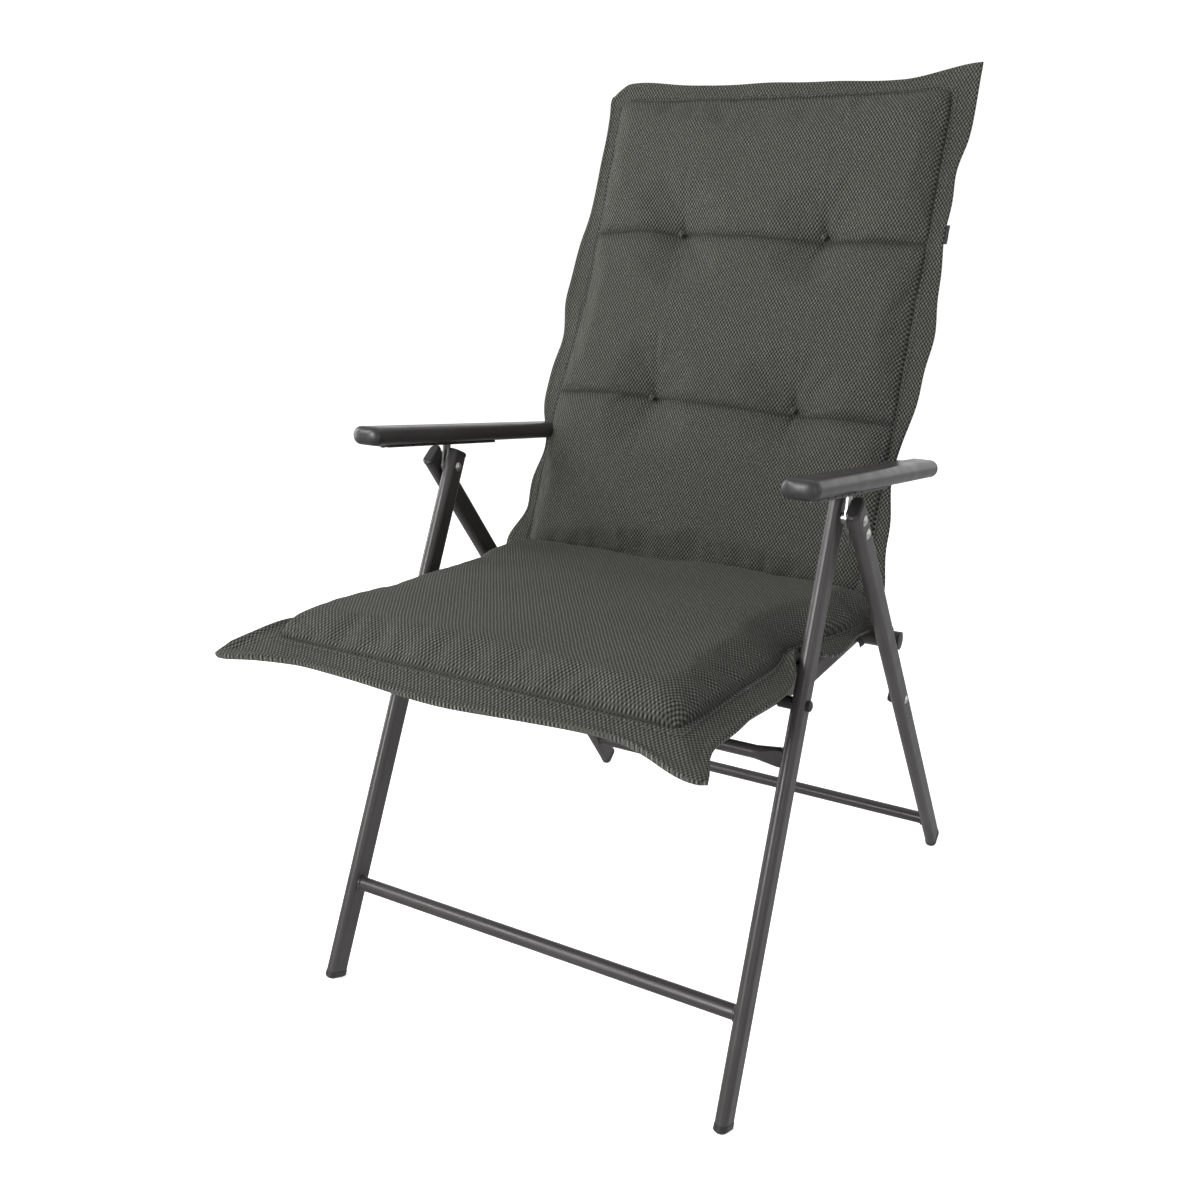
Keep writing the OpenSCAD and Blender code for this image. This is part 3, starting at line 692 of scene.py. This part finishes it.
def stitches(name, stations, body, share, rise, pitch=0.0065, length=0.0042, r=0.00055):
    """A row of thread stitches along a border, a given share of the way from the seam to the edge."""
    path = [(Vector(a).lerp(Vector(b), share), Vector(n)) for a, b, n, _, _, _ in stations]
    verts, faces = [], []
    run, due = 0.0, pitch
    for (p, n), (q, _) in zip(path, path[1:]):
        step = (q - p).length
        while run + step >= due:
            t = (due - run) / max(step, 1e-9)
            mid = p.lerp(q, t) + n * rise
            ahead = (q - p).normalized()
            across = ahead.cross(n).normalized()
            base = len(verts)
            for k, (w, fat) in enumerate(((-0.5, 0.35), (-0.3, 1.0), (0.3, 1.0), (0.5, 0.35))):
                lift = 0.0 if abs(w) < 0.4 else -r * 1.3
                for a in range(6):
                    c, sn = math.cos(a * math.pi / 3), math.sin(a * math.pi / 3)
                    verts.append(mid + ahead * (w * length) + (across * c + n * sn) * (r * fat) + n * lift)
            for k in range(3):
                for a in range(6):
                    b = (a + 1) % 6
                    low = base + k * 6
                    faces.append((low + a, low + b, low + 6 + b, low + 6 + a))
            faces.append(tuple(base + a for a in reversed(range(6))))
            faces.append(tuple(base + 18 + a for a in range(6)))
            due += pitch
        run += step
    piece = new_piece(name, verts, faces, THREAD, None)
    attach(piece, body)
    return piece


seat_stitching = stitches("seat_stitching", seat_stations, "seat", 0.2, 0.0024)
stitches("back_stitching", back_stations, "back", 0.22, 0.0024)


# ---------------------------------------------------------------- tufts and their buttons
BACK_UP = Vector(back_point(0, 1, 0)) - Vector(back_point(0, 0, 0))


def tuft_buttons():
    verts, faces = [], []
    n = BACK_NORMAL
    across, up = Vector((1, 0, 0)), BACK_UP
    rings = ((0.0026, -0.004), (0.0045, -0.001), (0.0047, 0.001), (0.0036, 0.003), (0.0018, 0.0038))
    count = 14
    for tx, ts in TUFTS:
        centre = Vector(back_point(tx, ts, 0.0055))
        base = len(verts)
        for r, h in rings:
            for a in range(count):
                angle = 2 * math.pi * a / count
                pucker = 1 + 0.06 * math.cos(7 * angle)
                spoke = across * math.cos(angle) + up * math.sin(angle)
                verts.append(centre + spoke * (r * pucker) + n * h)
        verts.append(centre + n * 0.0041)
        verts.append(centre + n * -0.004)
        last = base + (len(rings) - 1) * count
        for low in range(base, last, count):
            for a in range(count):
                b = (a + 1) % count
                faces.append((low + a, low + b, low + count + b, low + count + a))
        for a in range(count):
            b = (a + 1) % count
            faces.append((last + a, last + b, last + count))
            faces.append((base + b, base + a, last + count + 1))
    weave = [(v.x, v.z, 0) for v in verts]
    piece = new_piece("back_tufts", verts, faces, FABRIC, None, weave)
    subdivided(piece)
    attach(piece, "back")
    return piece


tufts = tuft_buttons()


# ---------------------------------------------------------------- the fold where the panels meet
def fold_roll():
    """Soft roll that joins the seat panel to the back panel under the crease."""
    half = 0.243
    path = [Vector((0, 0.07 + SHIFT_Y, 0.4385)), Vector((0, 0.092 + SHIFT_Y, 0.4405)),
            Vector((0, 0.108 + SHIFT_Y, 0.4455)),
            Vector((0, *back_point(0, 0.045, 0.0)[1:])), Vector((0, *back_point(0, 0.07, -0.001)[1:])),
            Vector((0, *back_point(0, 0.1, -0.001)[1:]))]
    verts, weave, faces = [], [], []
    sections, ring = 60, 2 * len(path)
    thick = [0.004, 0.008, 0.011, 0.012, 0.009, 0.004]
    normals = []
    for k in range(len(path)):
        d = path[min(k + 1, len(path) - 1)] - path[max(k - 1, 0)]
        normals.append(Vector((0, -d.z, d.y)).normalized())
    for i in range(sections + 1):
        x = -half + 2 * half * i / sections
        gather = 1 + 0.1 * math.sin(x * 310) * smooth((abs(x) - 0.15) / 0.05)
        end = (ease(half - abs(x), 0.012) * 0.7 + 0.3) * gather
        loop = [path[k] + normals[k] * thick[k] * end for k in range(len(path))]
        loop += [path[k] - normals[k] * thick[k] * end for k in reversed(range(len(path)))]
        for p in loop:
            verts.append((x, p.y, p.z + 0.0006 * math.sin(x * 190)))
            weave.append((x, p.y + p.z, 0))
    for i in range(sections):
        for r in range(ring):
            a, b = i * ring + r, i * ring + (r + 1) % ring
            faces.append((a, b, b + ring, a + ring))
    faces.append(tuple(reversed(range(ring))))
    faces.append(tuple(range(sections * ring, (sections + 1) * ring)))
    piece = new_piece("fold_roll", verts, faces, FABRIC, None, weave)
    mod = subdivided(piece).modifiers[-1]
    with bpy.context.temp_override(object=piece, active_object=piece, selected_objects=[piece]):
        bpy.ops.object.modifier_apply(modifier=mod.name)
    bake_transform(piece)
    return piece


fold = fold_roll()
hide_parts("cushion_fold")

# each pad piece gets a mesh of its own

for piece in (seat_pad, seat_border, seat_stitching):
    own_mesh(piece)
for piece in (back_pad, tufts):
    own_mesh(piece)

# ---------------------------------------------------------------- armrest ends, welds, label and tab
BOLT_Y, BOLT_Z = JOINTS["armrest_fold"]["pos_m"][1:]
LEG_Y, LEG_Z = JOINTS["leg_fold"]["pos_m"][1:]
ARM_X, ARM_FRONT, ARM_REAR = 0.26325, 0.408, -0.014
ARM_RISE = math.atan2(LEG_Z + 0.04 - BOLT_Z, BOLT_Y - LEG_Y - 0.007)
ARM_AHEAD = Vector((0, -math.cos(ARM_RISE), math.sin(ARM_RISE)))
ARM_UP = Vector((0, math.sin(ARM_RISE), math.cos(ARM_RISE)))


def flat_oval(width, height, count=14):
    """Outline of a flat oval: two half rounds joined by straight sides."""
    r = height / 2
    straight = width / 2 - r
    points = []
    for side in (1, -1):
        for k in range(count + 1):
            a = math.radians(-90 + 180 * k / count)
            points.append((side * (straight + r * math.cos(a)), side * r * math.sin(a)))
    return points


def arm_end(name, side, start, ahead, skirt, dome, node):
    """Domed plug in the end of an armrest, with a fine step where it meets the tube."""
    outline = flat_oval(0.0404, 0.0214)
    rings = [(0.0, 0.985), (0.0, 1.0), (skirt * 0.75, 1.0),
             (skirt * 0.85, 0.972), (skirt, 0.972), (skirt * 1.1, 0.995)]
    for degrees in (12, 24, 36, 48, 60, 72, 82):
        a = math.radians(degrees)
        rings.append((skirt * 1.1 + dome * math.sin(a), 0.995 * math.cos(a) ** 0.8))
    base = Vector((side * ARM_X, BOLT_Y, BOLT_Z)) + ARM_AHEAD * start
    verts, faces, n = [], [], len(outline)
    for run, scale in rings:
        for w, h in outline:
            verts.append(base + ahead * run + Vector((w * scale, 0, 0)) + ARM_UP * (h * scale))
    for k in range(len(rings) - 1):
        for i in range(n):
            j = (i + 1) % n
            faces.append((k * n + i, k * n + j, k * n + n + j, k * n + n + i))
    faces.append(tuple(reversed(range(n))))
    verts.append(base + ahead * (skirt * 1.1 + dome))
    last = (len(rings) - 1) * n
    for i in range(n):
        faces.append((last + i, last + (i + 1) % n, len(verts) - 1))
    if ahead.dot(ARM_AHEAD) > 0:
        faces = [tuple(reversed(f)) for f in faces]
    body = "armrest_left" if side > 0 else "armrest_right"
    piece = new_piece(name, verts, faces, PLASTIC, body)
    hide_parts(node)


for side, word in ((1, "left"), (-1, "right")):
    arm_end(f"arm_nose_{word}", side, ARM_FRONT, ARM_AHEAD, 0.003, 0.0087, f"armrest_front_cap_{word}")
    arm_end(f"arm_tail_{word}", side, ARM_REAR, -ARM_AHEAD, 0.0025, 0.0062, f"armrest_rear_cap_{word}")


def weld_rings(name, body, welds):
    """Lumpy beads round tube ends. Each weld gives its centre and the tube's half height and half depth."""
    verts, faces = [], []
    for number, (centre, high, deep) in enumerate(welds):
        base = len(verts)
        around, section = 36, 8
        for i in range(around):
            a = 2 * math.pi * i / around
            fat = 0.0017 * (1 + 0.22 * math.sin(5 * a + number) + 0.12 * math.sin(11 * a + 2 * number))
            spot = Vector(centre) + Vector((0, math.cos(a) * deep, math.sin(a) * high))
            out = Vector((0, math.cos(a), math.sin(a)))
            for k in range(section):
                b = 2 * math.pi * k / section
                verts.append(spot + out * (fat * math.cos(b)) + Vector((fat * 1.25 * math.sin(b), 0, 0)))
        for i in range(around):
            j = (i + 1) % around
            for k in range(section):
                m = (k + 1) % section
                faces.append((base + i * section + k, base + i * section + m,
                              base + j * section + m, base + j * section + k))
    piece = new_piece(name, verts, faces, COAT, body)
    subdivided(piece)


PIVOT_HEIGHT, FRONT_REACH, REAR_REACH = 0.6, 0.259, 0.47
STRETCHER_Z, CROSSBAR_Z, REAR_STRETCHER_Z = 0.113, 0.36, 0.0545
LEG_HALF_DEPTH = 0.0083


def front_leg_at(z):
    """Centre of the front leg, x and y, at a height."""
    return 0.262 - 0.0115 * z / PIVOT_HEIGHT, LEG_Y - FRONT_REACH + FRONT_REACH * z / PIVOT_HEIGHT


def rear_leg_at(z):
    """Centre of the rear leg, x and y, at a height."""
    return 0.2815 - 0.006 * z / PIVOT_HEIGHT, LEG_Y + REAR_REACH * (1 - z / PIVOT_HEIGHT)


front_welds, rear_welds = [], []
for side in (1, -1):
    for welds, leg_at, z, high, deep in ((front_welds, front_leg_at, STRETCHER_Z, 0.0085, 0.0085),
                                         (front_welds, front_leg_at, CROSSBAR_Z, 0.0108, 0.0058),
                                         (rear_welds, rear_leg_at, REAR_STRETCHER_Z, 0.0085, 0.0085)):
        x, y = leg_at(z)
        welds.append(((side * (x - LEG_HALF_DEPTH), y, z), high, deep))
weld_rings("front_weld_beads", "front_frame", front_welds)
weld_rings("rear_weld_beads", "rear_frame", rear_welds)


def soft_tag(name, body, centre, along, across, out, size, thick, bulge):
    """Small folded tag: a closed strip that stands off its edge with a rounded fold."""
    along, across, out = (Vector(v).normalized() for v in (along, across, out))
    verts, faces = [], []
    cols, rows = 8, 8
    for layer in (1, -1):
        for i in range(cols + 1):
            for j in range(rows + 1):
                u, v = i / cols * 2 - 1, j / rows
                pad = thick / 2 * (1 - 0.5 * max(0.0, v - 0.85) / 0.15)
                curl = bulge * math.sin(math.pi * v * 0.8) + 0.0004 * math.sin(5 * u)
                verts.append(Vector(centre) + along * (u * size[0] / 2) + across * (v * size[1])
                             + out * (curl + layer * pad))
    step, half = rows + 1, (cols + 1) * (rows + 1)
    for i in range(cols):
        for j in range(rows):
            a = i * step + j
            quad = (a, a + step, a + step + 1, a + 1)
            faces.append(quad)
            faces.append(tuple(half + q for q in reversed(quad)))
    rim = [i * step for i in range(cols + 1)] + [cols * step + j for j in range(1, rows + 1)]
    rim += [i * step + rows for i in range(cols - 1, -1, -1)] + [j for j in range(rows - 1, 0, -1)]
    for a, b in zip(rim, rim[1:] + rim[:1]):
        faces.append((b, a, half + a, half + b))
    piece = new_piece(name, verts, faces, LABEL, body)
    subdivided(piece)
    return piece


soft_tag("care_label", "seat", seat_point(0.2575, 0.035, -0.016), (0, 1, -0.05), (0.35, 0, -1), (1, 0, 0.3),
         (0.02, 0.011), 0.0012, 0.002)
soft_tag("border_tab", "back", back_point(0.2475, 0.497, -0.0015), BACK_UP,
         (1, 0, 0), BACK_NORMAL, (0.024, 0.0085), 0.0016, 0.0006)


# ---------------------------------------------------------------- floor, light, camera
FLOOR_REACH = 60


def stage_floor():
    n = Nodes("studio_floor")
    at = n.coords()
    n.link(n.mix(n.noise(at, 3, 2), (0.86, 0.86, 0.86), (0.89, 0.89, 0.89)), n.shader.inputs["Base Color"])
    n.set(Roughness=0.9, Specular_IOR_Level=0.1, Emission_Strength=0.74)
    n.shader.inputs["Emission Color"].default_value = (1, 1, 1, 1)
    mesh = bpy.data.meshes.new("studio_floor")
    corners = [(x * FLOOR_REACH, y * FLOOR_REACH, 0) for x, y in ((-1, -1), (1, -1), (1, 1), (-1, 1))]
    mesh.from_pydata(corners, [], [(0, 1, 2, 3)])
    mesh.materials.append(n.material)
    floor = bpy.data.objects.new("studio_floor", mesh)
    scene.collection.objects.link(floor)
    floor.visible_glossy = False


def softbox(name, place, aim, size, power):
    light = bpy.data.lights.new(name, "AREA")
    light.shape = "RECTANGLE"
    light.size, light.size_y = size
    light.energy = power
    lamp = bpy.data.objects.new(name, light)
    lamp.location = place
    lamp.rotation_euler = (Vector(aim) - Vector(place)).to_track_quat("-Z", "Y").to_euler()
    scene.collection.objects.link(lamp)


stage_floor()
softbox("key", (-1.9, -2.2, 2.6), (0, 0, 0.5), (1.2, 1.2), 55)
softbox("front", (-0.5, -3.0, 1.7), (0, 0, 0.6), (0.8, 1.4), 72)
softbox("strip_left", (-2.6, -0.4, 1.2), (0, 0, 0.5), (0.5, 2.2), 34)
softbox("strip_right", (2.3, -1.9, 1.3), (0, 0, 0.5), (0.4, 2.2), 9)
softbox("overhead", (0.4, 0.9, 3.2), (0, 0.1, 0), (3.0, 2.4), 16)


def studio_world():
    """White sweep behind the chair, darker room in front of it, above it and below the floor."""
    world = bpy.data.worlds.new("studio")
    world.use_nodes = True
    tree = world.node_tree
    direction = tree.nodes.new("ShaderNodeTexCoord").outputs["Generated"]
    parts = tree.nodes.new("ShaderNodeSeparateXYZ")
    tree.links.new(direction, parts.inputs[0])

    def fade(axis, low, high, at_low, at_high):
        node = tree.nodes.new("ShaderNodeMapRange")
        node.interpolation_type = "SMOOTHSTEP"
        for key, number in (("From Min", low), ("From Max", high), ("To Min", at_low), ("To Max", at_high)):
            node.inputs[key].default_value = number
        tree.links.new(parts.outputs[axis], node.inputs["Value"])
        return node.outputs["Result"]

    def times(a, b):
        node = tree.nodes.new("ShaderNodeMath")
        node.operation = "MULTIPLY"
        tree.links.new(a, node.inputs[0])
        tree.links.new(b, node.inputs[1])
        return node.outputs[0]

    upright = times(fade("Z", 0.18, 0.5, 1.0, 0.4), fade("Z", -0.08, -0.02, 0.4, 1.0))
    strength = times(upright, fade("Y", -0.55, 0.25, 0.3, 1.08))
    shade = tree.nodes["Background"]
    shade.inputs[0].default_value = (1, 1, 1, 1)
    tree.links.new(strength, shade.inputs[1])
    return world


scene.world = studio_world()
scene.view_settings.view_transform = "Standard"
scene.view_settings.look = "None"

camera = bpy.data.cameras.new("photo_view")
camera.sensor_width, camera.lens = 36.0, 36.588
camera.clip_start, camera.clip_end = 0.05, 60
viewer = bpy.data.objects.new("photo_view", camera)
turn, nod, roll = math.radians(29.7275), math.radians(-17.8157), math.radians(-0.5043)
aim = Matrix.Rotation(turn, 4, "Z") @ Matrix.Rotation(nod, 4, "X") @ Matrix.Rotation(roll, 4, "Y")
place = Matrix.Translation((0.6599, -1.2792 + SHIFT_Y, 0.9107))
viewer.matrix_world = place @ aim @ Matrix.Rotation(math.radians(90), 4, "X")
scene.collection.objects.link(viewer)
scene.camera = viewer
